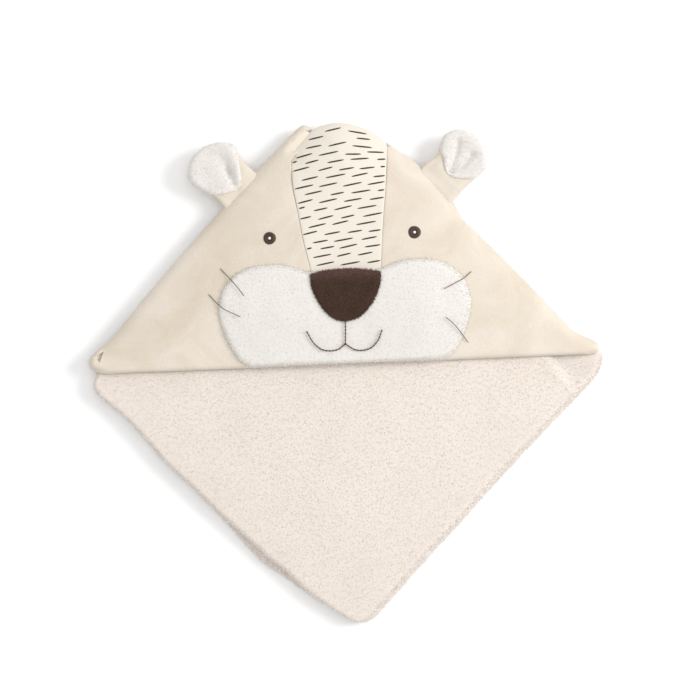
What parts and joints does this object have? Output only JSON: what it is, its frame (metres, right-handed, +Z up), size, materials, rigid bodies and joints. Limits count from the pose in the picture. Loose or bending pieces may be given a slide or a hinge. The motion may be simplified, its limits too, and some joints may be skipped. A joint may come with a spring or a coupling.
{
  "type": "hooded baby towel",
  "caption": "Square terry baby towel folded in four, with an animal-face hood sewn over its top corner: round ears, white muzzle, dark nose and a dashed forehead stripe.",
  "frame": {"origin": "on the table under the middle of the folded square", "axes": "+Z up from the table; the square's corners point along X and Y, with the hood over the +Y half and its open edge along X"},
  "size_m": [0.5102, 0.5008, 0.0405],
  "materials": {
    "terry_cream": "looped cotton terry",
    "velour_beige": "short brushed velour",
    "cotton_cream": "flat printed cotton jersey with short dark dashes",
    "jersey_lining": "soft cotton lining",
    "plush_white": "short white plush",
    "plush_brown": "short dark brown plush",
    "thread_brown": "dark brown embroidery thread",
    "thread_white": "white embroidery thread",
    "wadding": "loose polyester wadding"
  },
  "bodies": {
    "lower_half": {"towel_lower_half": "terry_cream", "towel_fold_roll": "terry_cream"},
    "upper_half": {"towel_upper_half": "terry_cream", "hood_lining": "jersey_lining", "hood_panel_left": "velour_beige", "hood_panel_right": "velour_beige", "forehead_stripe": "cotton_cream", "hood_front_hem": "velour_beige", "hood_side_seam_left": "velour_beige", "hood_side_seam_right": "velour_beige", "muzzle": "plush_white", "nose": "plush_brown", "mouth_stem": "thread_brown", "mouth_curve_left": "thread_brown", "mouth_curve_right": "thread_brown", "eye_ring_left": "thread_brown", "eye_ring_right": "thread_brown", "eye_dot_left": "thread_white", "eye_dot_right": "thread_white", "whisker_left_upper": "thread_brown", "whisker_left_lower": "thread_brown", "whisker_right_upper": "thread_brown", "whisker_right_lower": "thread_brown"},
    "ear_left": {"ear_left_front": "plush_white", "ear_left_back": "velour_beige", "ear_left_wadding": "wadding"},
    "ear_right": {"ear_right_front": "plush_white", "ear_right_back": "velour_beige", "ear_right_wadding": "wadding"}
  },
  "joints": [
    {"name": "book_fold", "type": "hinge", "parent": "lower_half", "child": "upper_half", "pos_m": [0.1347, -0.1347, 0.00875], "axis": [0.7071, 0.7071, 0], "range_deg": [0, 170], "deforming": ["towel_fold_roll"]},
    {"name": "ear_left_flop", "type": "hinge", "parent": "upper_half", "child": "ear_left", "pos_m": [-0.09899, 0.17748, 0.0264], "axis": [0.7071, 0.7071, 0], "range_deg": [0, 90]},
    {"name": "ear_right_flop", "type": "hinge", "parent": "upper_half", "child": "ear_right", "pos_m": [0.09899, 0.17748, 0.0264], "axis": [0.7071, -0.7071, 0], "range_deg": [0, 90]}
  ]
}
